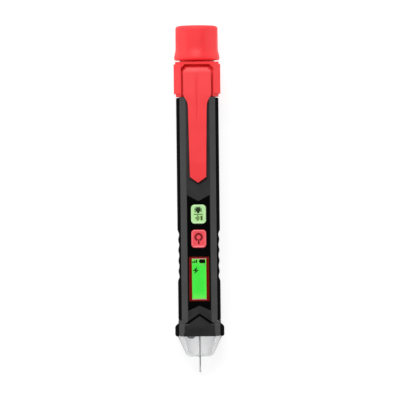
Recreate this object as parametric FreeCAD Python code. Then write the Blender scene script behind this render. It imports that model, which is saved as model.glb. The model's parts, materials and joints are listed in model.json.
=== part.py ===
"""Non contact voltage tester, a pen with an LCD, two buttons, a nose light and a screwed tail knob.

The pen lies on its back: X runs across it, Y runs from the tip to the knob and Z points up
through the display. All sizes are in millimetres. Heights inside the pen are measured from
the battery axis, and distances along it from the tip of the nib.
"""
import FreeCAD, Part
import math
import os

Vector = FreeCAD.Vector

# Clearances
running_clearance = 0.05        # radial, between a turning part and what it turns on
loose_clearance = 0.15          # round a sliding button
seat_clearance = 0.05           # between fixed parts that slot together
cell_clearance = 0.3            # radial, round the cells

# Cells and the tube that holds them
cell_diameter = 10.4            # AAA
cell_length = 44.5              # AAA, with its terminal
cell_count = 2
terminal_height = 1.0
terminal_radius = 1.9
tube_wall = 0.7
tube_end_wall = 1.2
contact_sheet = 0.4

# Case walls
shell_wall = 1.4
tube_side_gap = 0.5             # tube to shell at the sides
tube_back_gap = 1.2             # tube to shell at the back
rib_thickness = 1.2
grip_thickness = 1.5
grip_gap = 0.1                  # from the collar's ears to the grips
neck_inset = 0.5                # step down of the case where it enters the collar
case_rounding = 0.9             # along the case's long edges
fascia_thickness = 0.8
fascia_seat = 0.6               # shell left under the fascia

# Front facets of the case
panel_width = 10.2
panel_edge = 0.2                # flat left beside the fascia
facet_drop = 2.4
back_flat = 5.6                 # half width of the flat back
back_facet_drop = 2.5

# Along the pen
nib_reach = 10.0                # nib beyond the lens
lens_length = 9.2
collar_length = 5.7
chevron_band = 5.9              # from the collar to the fascia's lower corners
panel_end_margin = 4.35
lcd_frame_length = 20.0
lcd_frame_width = 9.0
lcd_frame_edge = 1.05           # width of the display's frame at its ends
lcd_frame_side = 1.3
boss_gap = 4.05                  # display to lower button, where two screw posts stand
power_button_length = 8.2
mode_button_length = 8.6
button_gap = 2.7
button_width = 6.7
button_corner = 1.6
button_proud = 0.7
panel_top_notch = 2.75
panel_bottom_notch = 2.3

# Electronics
board_gap = 0.6                 # above the battery tube
board_thickness = 1.0
switch_size = 6.0
switch_height = 1.4
button_travel = 0.5
button_flange = 0.45
plunger_radius = 1.6

# Tail
contact_spring_length = 5.2
disc_thickness = 0.5
knob_end_wall = 3.3
knob_length = 15.9
knob_gap = 0.8
ring_length = 14.4
ring_skirt_length = 1.3         # narrower step at the ring's end towards the case
ring_skirt_inset = 0.9
ring_gap = 0.3
neck_wall = 1.85
knob_wall = 2.5
flare = 0.4
ring_wall = 2.2
ring_side_wall = 2.15
ring_front_rise = 0.6           # ring above the case front
ring_rim_length = 1.1
ring_rim_inset = 0.7
thread_pitch = 2.0
thread_depth = 0.45
flute_count = 8
flute_depth = 0.25

# Clip
clip_root_width = 12.6
clip_waist_width = 8.4
clip_end_width = 7.3
clip_tip_from_panel = 5.6       # clip tip to the fascia's top corners
clip_groove = 0.9               # beside the clip's root
clip_end_groove = 1.5           # beyond the clip's root
clip_bead_radius = 1.2
clip_moat_depth = 1.5           # groove round the clip's seat, below the seat

# Nose
collar_step = 1.5               # collar's pads beyond the grips
pad_thickness = 1.8
pad_rounding = 1.1
pad_shoulder = 1.3              # slope at the pads' corners towards the case
ear_length = 1.5                # collar beside the case, at the grips' width
gasket_thickness = 0.3
collar_slope_length = 2.2       # on the collar's front, towards the tip
collar_slope_drop = 0.7
lens_step = 1.2                 # collar beyond the lens
lens_taper = 4.0                # radius lost by the lens over its length
lens_wall = 1.3
collar_facet_drop = 2.5
collar_rounding = 0.8
nib_width = 2.2
nib_depth = 4.6
wire_radius = 0.42

# Lamps
torch_radius = 2.5
signal_radius = 1.5

# Side grip waves
wave_count = 5
wave_pitch = 4.74
wave_depth = 0.7
crest_drop = 0.3

# Screws
screw_radius = 0.9
screw_head_radius = 1.5
screw_head_depth = 5.0

# Derived radii and half widths
bore_radius = cell_diameter / 2 + cell_clearance
tube_radius = bore_radius + tube_wall
inner_half_width = tube_radius + tube_side_gap
shell_half_width = inner_half_width + shell_wall
body_half_width = shell_half_width + grip_thickness
collar_half_width = body_half_width + collar_step
collar_core = collar_half_width - pad_thickness
lens_radius = collar_half_width - lens_step
seal_radius = lens_radius - 1.0
thread_radius = bore_radius + neck_wall
land_radius = thread_radius + 0.5
knob_bore = thread_radius + running_clearance
knob_radius = knob_bore + knob_wall
sleeve_radius = shell_half_width + 0.3
ring_half_width = sleeve_radius + ring_side_wall
half_panel = panel_width / 2
front_flat = half_panel + panel_edge

# Derived heights from the battery axis
body_back = -(tube_radius + tube_back_gap + shell_wall + 0.1)
inner_back = body_back + shell_wall
rest_depth = sleeve_radius + ring_wall
board_bottom = tube_radius + board_gap
board_top = board_bottom + board_thickness
switch_top = board_top + switch_height
plunger_top = switch_top + button_travel + 0.05
flange_bottom = plunger_top + 0.1
inner_front = flange_bottom + button_flange + 0.1
fascia_bottom = inner_front + fascia_seat
body_front = fascia_bottom + fascia_thickness
ring_front = body_front + ring_front_rise
collar_front = body_front + 0.5
nose_height = (collar_front - rest_depth) / 2
facet_side = body_front - facet_drop

# Derived distances from the tip
collar_start = nib_reach + lens_length
body_start = collar_start + collar_length
panel_start = body_start + chevron_band
lcd_start = panel_start + panel_end_margin
lcd_end = lcd_start + lcd_frame_length
power_start = lcd_end + boss_gap
power_end = power_start + power_button_length
mode_start = power_end + button_gap
mode_end = mode_start + mode_button_length
panel_end = mode_end + panel_end_margin
tube_start = power_start + 0.8
cells_start = tube_start + tube_end_wall + 2 * contact_sheet
cells_end = cells_start + cell_count * cell_length
disc_start = cells_end + contact_spring_length
disc_end = disc_start + disc_thickness
overall_length = disc_end + knob_end_wall
knob_start = overall_length - knob_length
ring_end = knob_start - knob_gap
ring_start = ring_end - ring_length
skirt_start = ring_start - ring_skirt_length
body_end = skirt_start - ring_gap
lcd_middle = (lcd_start + lcd_end) / 2
lcd_view_length = lcd_frame_length - 2 * lcd_frame_edge
lcd_view_width = lcd_frame_width - 2 * lcd_frame_side
power_middle = (power_start + power_end) / 2
mode_middle = (mode_start + mode_end) / 2
neck_start = collar_start + 2.3
tube_end = body_end - 6.0
neck_end = disc_start - contact_sheet - 0.05
clip_tip = panel_end + clip_tip_from_panel
clip_root_end = ring_end - 2.6
clip_pivot = clip_root_end - 2.1
clip_pivot_height = ring_front - 2.1
led_board_start = body_start + 0.7
board_start = led_board_start + board_thickness
board_end = mode_end + 3.0
front_boss = board_start + 3.6
rear_boss = lcd_end + 1.95
boss_x = inner_half_width - 2.15
rib_reach = inner_half_width + 0.3
grip_wave_start = lcd_middle - 1.2

axis_height = rest_depth
tip_y = -overall_length / 2


def along(distance):
    """The Y of a distance from the tip."""
    return tip_y + distance


def up(height):
    """The Z of a height from the battery axis."""
    return axis_height + height


def rounded_wire(corners, radius, place):
    """A closed wire through corners, each rounded to radius; place turns a pair into a point."""
    edges = []
    joins = []
    count = len(corners)
    for index in range(count):
        corner = Vector(corners[index][0], corners[index][1], 0)
        before = Vector(corners[index - 1][0], corners[index - 1][1], 0) - corner
        after = Vector(corners[(index + 1) % count][0], corners[(index + 1) % count][1], 0) - corner
        half_angle = before.getAngle(after) / 2
        before.normalize()
        after.normalize()
        middle = before + after
        if radius == 0 or middle.Length < 1e-6:
            joins.append((corner, None, corner))
            continue
        middle.normalize()
        setback = radius / math.tan(half_angle)
        reach = radius / math.sin(half_angle) - radius
        joins.append((corner + before * setback, corner + middle * reach, corner + after * setback))
    for index in range(count):
        first, bend, last = joins[index]
        if bend is not None:
            edges.append(Part.Arc(place(first), place(bend), place(last)).toShape())
        following = joins[(index + 1) % count][0]
        if (following - last).Length > 1e-6:
            edges.append(Part.LineSegment(place(last), place(following)).toShape())
    return Part.Wire(edges)


def prism_along(corners, start, end, radius=0.0, grow=0.0):
    """Corners (x, height) carried along the pen; grow offsets the outline outwards."""
    wire = rounded_wire(corners, radius, lambda p: Vector(p.x, along(start), up(p.y)))
    face = Part.Face(wire)
    if grow:
        face = Part.Face(wire.makeOffset2D(grow, 2).Wires[0])
    return face.extrude(Vector(0, end - start, 0))


def prism_up(corners, bottom, top, radius=0.0):
    """Corners (x, distance from the tip) carried upwards."""
    wire = rounded_wire(corners, radius, lambda p: Vector(p.x, along(p.y), up(bottom)))
    return Part.Face(wire).extrude(Vector(0, 0, top - bottom))


def prism_across(corners, half_width, radius=0.0):
    """Corners (distance from the tip, height) carried across the pen."""
    wire = rounded_wire(corners, radius, lambda p: Vector(-half_width, along(p.x), up(p.y)))
    return Part.Face(wire).extrude(Vector(2 * half_width, 0, 0))


def block(left, right, start, end, bottom, top):
    """A plain box."""
    corner = Vector(left, along(start), up(bottom))
    return Part.makeBox(right - left, end - start, top - bottom, corner)


def plate(half_width, start, end, bottom, top, radius=0.0):
    """A box centred across the pen, with its upright corners rounded."""
    corners = [(-half_width, start), (half_width, start), (half_width, end), (-half_width, end)]
    return prism_up(corners, bottom, top, radius)


def rod(radius, start, end, x=0.0, height=0.0):
    """A cylinder along the pen."""
    return Part.makeCylinder(radius, end - start, Vector(x, along(start), up(height)), Vector(0, 1, 0))


def post(radius, x, distance, bottom, top):
    """A cylinder standing up."""
    return Part.makeCylinder(radius, top - bottom, Vector(x, along(distance), up(bottom)), Vector(0, 0, 1))


def turned(profile, height=0.0):
    """A solid of revolution about the pen's length; profile holds (distance from the tip, radius)."""
    points = [Vector(r, along(d), up(height)) for d, r in profile]
    wire = Part.makePolygon(points + points[:1])
    return Part.Face(wire).revolve(Vector(0, 0, up(height)), Vector(0, 1, 0), 360)


def mirrored(half_corners):
    """Both sides of an outline given on its right side, from the front to the back."""
    return half_corners + [(-x, height) for x, height in reversed(half_corners)]


def joined(shapes):
    """One solid from several that overlap."""
    whole = shapes[0]
    for shape in shapes[1:]:
        whole = whole.fuse(shape)
    return whole.removeSplitter()


def body_outline():
    """The case's outline across the pen, without the grips."""
    return mirrored([(front_flat, body_front), (shell_half_width, facet_side),
                     (shell_half_width, body_back + back_facet_drop), (back_flat, body_back)])


def chevron(apex, slope, low):
    """An arrow head in plan, pointing along the pen, down to the distance low."""
    reach = (apex - low) * slope
    return [(0, apex), (reach, low), (-reach, low)]


strip_half = 0.9
strip_sheet = 0.3
strip_top = -(tube_radius + seat_clearance)
strip_bottom = strip_top - strip_sheet

boss_places = [(side * boss_x, distance) for distance in (front_boss, rear_boss) for side in (-1, 1)]
chevron_slope = 7.4 / 5.1
tongue_recess = 0.9
tongue_gap = 1.3                # along the pen, from the tongue's point to the recess's
recess_apex = body_start + 4.7


def case_solid():
    """The whole case with its cavity, before it is split into two shells."""
    outline = body_outline()
    outer = prism_along(outline, body_start, body_end, case_rounding)
    neck = prism_along(outline, neck_start, body_start + 0.01, grow=-neck_inset)
    cavity = prism_along(outline, neck_start - 1, body_end - 2.0, grow=-shell_wall)
    low_ceiling = block(-20, 20, neck_start - 2, body_end, inner_front, inner_front + 20)
    low_floor = block(-20, 20, neck_start - 2, body_end, inner_back - 20, inner_back)
    cavity = cavity.cut(low_ceiling).cut(low_floor)
    shell = outer.fuse(neck).cut(cavity)
    shell = shell.cut(rod(tube_radius + 0.45, body_end - 3, body_end + 1))
    skin = prism_along(outline, body_start - 1, body_end, grow=2.0)
    skin = skin.cut(prism_along(outline, body_start - 2, body_end + 1, grow=-tongue_recess))
    notch = prism_up(chevron(recess_apex, chevron_slope, body_start - 3), 0, body_front + 5)
    return shell.cut(skin.common(notch))


def within_walls(shape):
    """The part of an inner rib or post that doesn't stand out of the case."""
    return shape.common(prism_along(body_outline(), neck_start, body_end, grow=-shell_wall / 2))


def front_shell():
    """Upper half of the case, with the fascia's seat and its three openings."""
    shell = case_solid().common(block(-20, 20, 0, overall_length, 0, 30))
    seat = prism_up(panel_outline(seat_clearance), fascia_bottom, body_front + 5)
    shell = shell.cut(seat)
    for solid in panel_openings():
        shell = shell.cut(solid)
    for x, distance in boss_places:
        shell = shell.fuse(within_walls(post(1.5, x, distance, board_top, inner_front + 0.2)))
        shell = shell.cut(post(screw_radius, x, distance, board_top - 1, board_top + 2.2))
    for distance in (board_end + 8, board_end + 20, board_end + 32):
        rib = block(-rib_reach, rib_reach, distance, distance + rib_thickness, 2.0, facet_side)
        rib = rib.cut(rod(tube_radius + seat_clearance, distance - 1, distance + 3))
        shell = shell.fuse(within_walls(rib))
    return shell.removeSplitter()


def rear_shell():
    """Lower half of the case, with the screw posts and the ribs under the battery tube."""
    shell = case_solid().common(block(-20, 20, 0, overall_length, -30, 0))
    for x, distance in boss_places:
        shell = shell.fuse(within_walls(post(2.1, x, distance, inner_back - 0.2, board_bottom)))
    for x, distance in boss_places:
        head_seat = body_back + screw_head_depth
        shell = shell.cut(post(screw_head_radius + 0.1, x, distance, body_back - 1, head_seat))
        shell = shell.cut(post(screw_radius + 0.1, x, distance, body_back, board_bottom + 1))
    for distance in (tube_start + 8, tube_start + 24, tube_start + 40, tube_start + 56):
        rib = block(-rib_reach, rib_reach, distance, distance + rib_thickness, inner_back - 0.2, -2.0)
        rib = rib.cut(rod(tube_radius + seat_clearance, distance - 1, distance + 3))
        notch_half = strip_half + 0.2
        strip_notch = block(-notch_half, notch_half, distance - 1, distance + 3, strip_bottom - 0.2, 0)
        shell = shell.fuse(within_walls(rib.cut(strip_notch)))
    return shell.removeSplitter()


def panel_outline(grow=0.0):
    """The fascia's outline in plan: a downward V at the top and an upward V at the bottom."""
    half = half_panel + grow
    low = panel_start - grow
    high = panel_end + grow
    return [(-half, low), (0, low + panel_bottom_notch), (half, low),
            (half, high), (0, high - panel_top_notch), (-half, high)]


def button_outline(middle, length, grow=0.0):
    """Corners of a button in plan."""
    half = button_width / 2 + grow
    return [(-half, middle - length / 2 - grow), (half, middle - length / 2 - grow),
            (half, middle + length / 2 + grow), (-half, middle + length / 2 + grow)]


def panel_openings():
    """What is cut out of the fascia and its seat for the display and the buttons."""
    low = inner_front - 1
    high = body_front + 1
    corner = button_corner + loose_clearance
    frame_half = lcd_frame_width / 2 + seat_clearance
    return [
        prism_up(button_outline(mode_middle, mode_button_length, loose_clearance), low, high, corner),
        prism_up(button_outline(power_middle, power_button_length, loose_clearance), low, high, corner),
        plate(frame_half, lcd_start - seat_clearance, lcd_end + seat_clearance, low, high)]


def fascia_panel():
    """The black front plate let into the shell."""
    panel = prism_up(panel_outline(), fascia_bottom, body_front)
    for solid in panel_openings():
        panel = panel.cut(solid)
    return panel


def grip_section(start, end, gap=0.0):
    """The grips' plain section carried along the pen; gap stands it off the shell."""
    low = body_back + back_facet_drop + 0.4
    high = facet_side - 0.5
    inner = shell_half_width + gap
    outer = body_half_width
    return prism_along([(inner, low), (inner, high), (outer, high - 1.4), (outer, low + 1.4)], start, end)


def side_grip(side):
    """A soft strip along one side, with finger waves."""
    outer = body_half_width
    section = grip_section(body_start + ear_length + grip_gap, body_end - 0.2)
    points = []
    for wave in range(wave_count):
        valley = grip_wave_start + (wave + 0.5) * wave_pitch
        points.append(Vector(outer - wave_depth, along(valley), up(-20)))
        if wave < wave_count - 1:
            points.append(Vector(outer - crest_drop, along(valley + wave_pitch / 2), up(-20)))
    first = Vector(outer + 0.05, along(grip_wave_start), up(-20))
    last = Vector(outer + 0.05, along(grip_wave_start + wave_count * wave_pitch), up(-20))
    curve = Part.BSplineCurve()
    curve.interpolate([first] + points + [last])
    far = Vector(5, 0, 0)
    sides = Part.makePolygon([last, last + far, first + far, first])
    cutter = Part.Face(Part.Wire([curve.toShape()] + sides.Edges)).extrude(Vector(0, 0, 40))
    grip = section.cut(cutter)
    if side < 0:
        grip = grip.mirror(Vector(0, 0, 0), Vector(1, 0, 0))
    return grip


def lcd_bezel():
    """Red frame round the display, stepped below to hold the window."""
    bottom = inner_front - 0.2
    frame = plate(lcd_frame_width / 2, lcd_start, lcd_end, bottom, body_front + 0.2)
    frame = frame.cut(view_block(0.0, bottom - 1, body_front + 2))
    return frame.cut(view_block(0.5, bottom - 1, body_front - 0.6))


def view_block(grow, bottom, top):
    """A block over the display's viewing area."""
    half_length = lcd_view_length / 2 + grow
    return plate(lcd_view_width / 2 + grow, lcd_middle - half_length, lcd_middle + half_length, bottom, top)


def lcd_window():
    """Clear window seated in the bezel from below."""
    return view_block(0.45, inner_front - 0.1, body_front - 0.6)


def lcd_glass():
    """The display's glass."""
    return view_block(0.9, inner_front - 1.3, inner_front - 0.25)


def lcd_backlight():
    """Light guide under the glass, shorter than it at one end for the connector."""
    half_length = lcd_view_length / 2
    return plate(lcd_view_width / 2 + 0.6, lcd_middle - half_length, lcd_middle + half_length - 1.6,
                 board_top, inner_front - 1.3)


def lcd_connector():
    """Elastomer strip that joins the glass to the board."""
    end = lcd_middle + lcd_view_length / 2 + 0.6
    return plate(lcd_view_width / 2 + 0.4, end - 1.5, end, board_top, inner_front - 1.3)


def button(middle, length):
    """A button cap with the flange that keeps it in the case."""
    top = body_front + button_proud
    cap = prism_up(button_outline(middle, length), flange_bottom, top, button_corner)
    rim = [edge for edge in cap.Edges if abs(edge.BoundBox.ZMin - up(top)) < 1e-4]
    cap = cap.makeFillet(0.35, rim)
    outline = button_outline(middle, length, 0.5)
    flange = prism_up(outline, flange_bottom, flange_bottom + button_flange, button_corner)
    return cap.fuse(flange).removeSplitter()


def switch_body(middle):
    """Tactile switch on the board, bored for its plunger."""
    half = switch_size / 2
    body = block(-half, half, middle - half, middle + half, board_top, switch_top)
    return body.cut(post(plunger_radius + running_clearance, 0, middle, board_top + 0.4, switch_top + 1))


def switch_plunger(middle):
    """The moving stem of a tactile switch."""
    return post(plunger_radius, 0, middle, board_top + 0.4 + button_travel + 0.05, plunger_top)


def main_board():
    """Circuit board above the battery tube."""
    board = plate(inner_half_width - 0.6, board_start, board_end, board_bottom, board_top)
    for x, distance in boss_places:
        board = board.cut(post(screw_radius + 0.2, x, distance, board_bottom - 1, board_top + 1))
    return board


def controller_chip():
    """Controller on the underside of the board."""
    middle = lcd_start + 3.3
    return block(-2.5, 2.5, middle - 2.5, middle + 2.5, board_bottom - 0.9, board_bottom)


def board_parts():
    """Small resistors and capacitors as one group of solids."""
    solids = []
    for row in range(4):
        distance = lcd_start + 1.2 + row * 1.1
        for left in (-4.8, 3.2):
            chip = block(left, left + 1.6, distance, distance + 0.7, board_bottom - 0.55, board_bottom)
            solids.append(chip)
    return Part.makeCompound(solids)


def buzzer():
    """Round sounder under the board."""
    middle = lcd_start + 11.6
    case = post(4.5, 0, middle, board_bottom - 4.0, board_bottom)
    return case.cut(post(0.8, 0, middle, board_bottom - 5.0, board_bottom - 3.2))


def led_board():
    """Upright board across the nose end that carries the two lamps."""
    end = led_board_start + board_thickness
    board = prism_along(body_outline(), led_board_start, end, grow=-shell_wall - 0.15)
    board = board.cut(block(-20, 20, 0, overall_length, inner_front - 0.15, 30))
    board = board.cut(block(-20, 20, 0, overall_length, -30, inner_back + 0.15))
    return board.cut(rod(wire_radius + 0.2, led_board_start - 1, board_start + 1, height=nose_height))


def lamp(radius, x, length):
    """A domed lamp pointing out of the nose."""
    front = led_board_start - length
    barrel = rod(radius, front + radius, led_board_start, x, nose_height)
    dome = Part.makeSphere(radius, Vector(x, along(front + radius), up(nose_height)))
    foot = rod(radius + 0.15, led_board_start - 1.0, led_board_start, x, nose_height)
    return joined([barrel, dome, foot])


def antenna_wire():
    """Sensing wire from the nib to the board."""
    bend = board_start + 2.4
    straight = rod(wire_radius, 2.8, bend, height=nose_height)
    corner = Part.makeSphere(wire_radius, Vector(0, along(bend), up(nose_height)))
    riser = post(wire_radius, 0, bend, nose_height, board_bottom)
    return joined([straight, corner, riser])


def sensor_nib():
    """Clear flat blade with a slanted end, bored for the sensing wire."""
    half = nib_width / 2
    plan = prism_up([(-half, led_board_start), (-0.9 * half, 4.2), (0.95 * half, 0.0), (half, 1.2),
                     (half, led_board_start)], nose_height - 10, nose_height + 10)
    low = nose_height - nib_depth / 2
    high = nose_height + nib_depth / 2
    side = prism_across([(led_board_start, low), (nib_reach, low), (0, low + 0.9), (0, high - 0.9),
                         (nib_reach, high), (led_board_start, high)], 5)
    stop = block(-1.5, 1.5, nib_reach + 1.1, nib_reach + 2.3, nose_height - 4, nose_height + 4)
    blade = plan.common(side).fuse(stop).removeSplitter()
    return blade.cut(rod(wire_radius + 0.03, 2.7, led_board_start + 1, height=nose_height))


def nose_lens():
    """Hollow clear cone round the nib, with a spigot into the collar."""
    small = lens_radius - lens_taper
    slope = lens_taper / lens_length
    end = collar_start + 2.2
    spigot = lens_radius - 1.4
    outer = turned([(nib_reach, 0), (nib_reach, small - 1.2), (nib_reach + 0.9, small + 0.9 * slope),
                    (collar_start, lens_radius), (collar_start, spigot), (end, spigot), (end, 0)],
                   nose_height)
    inner = turned([(nib_reach + 1.0, 0), (nib_reach + 1.0, small - lens_wall),
                    (collar_start - 0.6, spigot - 1.1), (end + 1, spigot - 1.1), (end + 1, 0)], nose_height)
    slot = block(-nib_width / 2 - 0.05, nib_width / 2 + 0.05, nib_reach - 1, nib_reach + 2,
                 nose_height - nib_depth / 2 - 0.05, nose_height + nib_depth / 2 + 0.05)
    return outer.cut(inner).cut(slot)


def nose_seal():
    """Flat rubber ring between the lens and the collar."""
    ring = rod(seal_radius, collar_start, collar_start + 0.4, height=nose_height)
    return ring.cut(rod(lens_radius - 1.35, collar_start - 1, collar_start + 1, height=nose_height))


def collar_outline():
    """The nose collar's outline across the pen, without its pads."""
    return mirrored([(collar_core - 2.5, collar_front), (collar_core, collar_front - collar_facet_drop),
                     (collar_core, -rest_depth + 2.6), (7.0, -rest_depth)])


def collar_pad(side):
    """A soft pad on one side of the collar, rounded at the nose and sloped towards the case."""
    low = -rest_depth + 2.9
    high = collar_front - collar_facet_drop - 0.2
    slope = 1.4
    pad = prism_along([(collar_core, low), (collar_core, high), (collar_half_width, high - slope),
                       (collar_half_width, low + slope)], collar_start, body_start)
    outer = collar_half_width
    plan = prism_up([(collar_core - 5, collar_start), (outer, collar_start),
                     (outer, body_start - pad_shoulder), (outer - pad_shoulder, body_start),
                     (collar_core - 5, body_start)],
                    low - 1, high + 1, pad_rounding)
    pad = pad.common(plan)
    if side < 0:
        pad = pad.mirror(Vector(0, 0, 0), Vector(1, 0, 0))
    return pad


def nose_collar():
    """Collar that clamps the lens to the case, with a pointed tongue up the front."""
    solid = prism_along(collar_outline(), collar_start, body_start, collar_rounding)
    ends = [edge for edge in solid.Edges if edge.BoundBox.YLength < 1e-4]
    solid = solid.makeChamfer(0.5, ends)
    slope_end = collar_start + collar_slope_length
    slope_low = collar_front - collar_slope_drop * (1 + 1 / collar_slope_length)
    solid = solid.cut(prism_across([
        (collar_start - 1, slope_low), (slope_end, collar_front),
        (slope_end, collar_front + 1), (collar_start - 1, collar_front + 1)], 20))
    for side in (-1, 1):
        ear = grip_section(body_start - 1.0, body_start + ear_length, seat_clearance)
        ear = ear.cut(block(collar_core, 20, collar_start, body_start, -20, 20))
        solid = solid.fuse(ear if side > 0 else ear.mirror(Vector(0, 0, 0), Vector(1, 0, 0)))
    outline = body_outline()
    tongue = prism_along(outline, body_start - 1.5, recess_apex - tongue_gap, grow=0.5)
    tongue = tongue.cut(prism_along(outline, 0, overall_length, grow=-tongue_recess + seat_clearance))
    point = prism_up(chevron(recess_apex - tongue_gap, chevron_slope, body_start - 2), 0, body_front + 5)
    solid = solid.fuse(tongue.common(point))
    solid = solid.cut(rod(lens_radius - 1.35, collar_start - 1, neck_start, height=nose_height))
    seal_seat = rod(seal_radius + seat_clearance, collar_start - 1, collar_start + 0.4, height=nose_height)
    solid = solid.cut(seal_seat)
    neck = prism_along(outline, neck_start - 0.1, body_start + 10, grow=-neck_inset + seat_clearance)
    behind = prism_along(outline, body_start, body_start + 10, grow=-tongue_recess + seat_clearance)
    return solid.cut(neck.common(block(-20, 20, 0, body_start, -30, 30))).cut(behind).removeSplitter()


def chevron_gasket():
    """Thin rubber inlay on the floor of the groove between the tongue and the case."""
    outline = body_outline()
    start = body_start + seat_clearance
    layer = prism_along(outline, start, recess_apex, grow=gasket_thickness - tongue_recess)
    layer = layer.cut(prism_along(outline, start - 1, recess_apex + 1, grow=seat_clearance - tongue_recess))
    groove = prism_up(chevron(recess_apex - 0.1, chevron_slope, start), 0, body_front + 5)
    tongue = prism_up(chevron(recess_apex - tongue_gap + 0.1, chevron_slope, start - 1), -1, body_front + 6)
    return layer.common(groove).cut(tongue)


def battery_tube():
    """Tube that holds the cells, closed at the front."""
    tube = rod(tube_radius, tube_start, tube_end)
    tube = tube.cut(rod(bore_radius, tube_start + tube_end_wall, tube_end + 1))
    return tube.cut(block(-3.1, -1.4, tube_start - 1, tube_start + 2, 3.3, 3.9))


def cell(index):
    """One AAA cell with its terminal towards the tip."""
    start = cells_start + index * cell_length
    can = rod(cell_diameter / 2, start + terminal_height, start + cell_length)
    return can.fuse(rod(terminal_radius, start, start + terminal_height + 0.1)).removeSplitter()


def head_contact():
    """Positive contact: a plate with a dimple, and a tab up to the board."""
    front = tube_start + tube_end_wall
    sheet = block(-3.6, 3.6, front, front + contact_sheet, -3.6, 3.6)
    dimple = rod(1.5, front + contact_sheet - 0.1, cells_start)
    through = block(-3.0, -1.5, tube_start - contact_sheet, front + contact_sheet, 3.4, 3.8)
    riser = block(-3.0, -1.5, tube_start - contact_sheet, tube_start, 3.4, board_bottom)
    return joined([sheet, dimple, through, riser])


def ground_strip():
    """Negative strip under the tube, from the mouth of the sleeve to the board."""
    riser_end = tube_start - 0.2
    riser_start = riser_end - strip_sheet
    run = block(-strip_half, strip_half, riser_start, neck_end + strip_sheet, strip_bottom, strip_top)
    riser = block(-strip_half, strip_half, riser_start, riser_end, strip_bottom, board_bottom)
    tab = block(-strip_half, strip_half, neck_end, neck_end + strip_sheet, strip_bottom, -(bore_radius + 0.1))
    return joined([run, riser, tab])


def tail_sleeve():
    """Sleeve gripped by the shells; it carries the clip ring, the seal and the knob's thread."""
    land_end = knob_start + 2.9
    root_radius = thread_radius - thread_depth
    profile = [(tube_end + 0.1, bore_radius), (tube_end + 0.1, tube_radius + 0.4),
               (skirt_start - 0.2, tube_radius + 0.4), (skirt_start - 0.2, sleeve_radius),
               (ring_end - 0.1, sleeve_radius), (ring_end - 0.1, land_radius),
               (knob_start + 0.5, land_radius), (knob_start + 0.5, land_radius - 0.7),
               (knob_start + 1.9, land_radius - 0.7), (knob_start + 1.9, land_radius),
               (land_end, land_radius), (land_end, root_radius)]
    for turn in range(int((neck_end - land_end - 0.8) / thread_pitch)):
        crest = land_end + 0.6 + turn * thread_pitch
        profile += [(crest, root_radius), (crest + 0.4, thread_radius),
                    (crest + 1.0, thread_radius), (crest + 1.4, root_radius)]
    profile += [(neck_end, root_radius), (neck_end, bore_radius)]
    sleeve = turned(profile)
    flange = prism_along(body_outline(), tube_end + 0.5, tube_end + 3.0, grow=-shell_wall - 0.1)
    flange = flange.cut(block(-20, 20, 0, overall_length, inner_front - 0.1, 30))
    flange = flange.cut(block(-20, 20, 0, overall_length, -30, inner_back + 0.1))
    flange = flange.cut(rod(bore_radius, 0, overall_length))
    key = block(-1.2, 1.2, ring_start, ring_end - 0.1, -sleeve_radius - 0.6, -sleeve_radius + 0.5)
    slot_half = strip_half + 0.1
    slot = block(-slot_half, slot_half, tube_end - 1, neck_end + 1, strip_bottom - 0.05, strip_top + 0.05)
    return joined([sleeve, flange, key]).cut(slot)


def tail_oring():
    """Rubber ring in the sleeve's groove, under the knob's rim."""
    ring = rod(land_radius + 0.1, knob_start + 0.55, knob_start + 1.85)
    return ring.cut(rod(land_radius - 0.7, knob_start, knob_start + 3))


def ring_outline():
    """The clip ring's outline across the pen."""
    return mirrored([(7.6, ring_front), (ring_half_width, ring_front - 3.2),
                     (ring_half_width, -rest_depth + 3.2), (7.0, -rest_depth)])


def root_outline(side_gap=0.0, end_gap=0.0):
    """The clip's root plate in plan, with its two far corners cut off and gaps round it."""
    half = clip_root_width / 2 + side_gap
    low = skirt_start - 1
    end = clip_root_end + end_gap
    shoulder = end - 1.7
    return [(-half, low), (half, low), (half, shoulder),
            (half - 1.7, end), (-half + 1.7, end), (-half, shoulder)]


def clip_ring():
    """Red ring round the sleeve, with a moat round the clip's seat and a socket for its bead."""
    rim_start = ring_end - ring_rim_length
    ring = prism_along(ring_outline(), ring_start, rim_start, 0.8)
    rim = prism_along(ring_outline(), rim_start - 0.1, ring_end, grow=-ring_rim_inset)
    skirt = prism_along(ring_outline(), skirt_start, ring_start + 0.1, grow=-ring_skirt_inset)
    ring = ring.fuse(rim).fuse(skirt)
    ring = ring.cut(rod(sleeve_radius + seat_clearance, skirt_start - 1, ring_end + 1))
    keyway = block(-1.3, 1.3, skirt_start - 1, ring_end + 1, -sleeve_radius - 0.7, -sleeve_radius + 0.5)
    seat_top = clip_pivot_height + 0.6
    recess = prism_up(root_outline(clip_groove, clip_end_groove), seat_top - clip_moat_depth, ring_front + 5)
    seat = prism_up(root_outline(), 0, seat_top)
    socket = across_rod(clip_bead_radius + running_clearance, clip_root_width / 2 - 1.0)
    return ring.cut(keyway).cut(recess.cut(seat)).cut(socket).removeSplitter()


def across_rod(radius, half_length):
    """A cylinder across the pen at the clip's pivot."""
    corner = Vector(-half_length, along(clip_pivot), up(clip_pivot_height))
    return Part.makeCylinder(radius, 2 * half_length, corner, Vector(1, 0, 0))


def clip_plan():
    """The clip seen from the front: root plate, waist, long strip and pointed end."""
    root = clip_root_width / 2
    waist = clip_waist_width / 2
    end = clip_end_width / 2
    right = [(0, clip_tip), (end, clip_tip + 2.6), (waist, ring_start - 4.2), (waist + 0.5, ring_start - 3.0),
             (root - 0.5, ring_start - 0.9), (root, ring_start + 0.4), (root, clip_root_end - 1.7),
             (root - 1.7, clip_root_end)]
    left = [(-x, distance) for x, distance in reversed(right) if x > 0]
    return right + left


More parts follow.
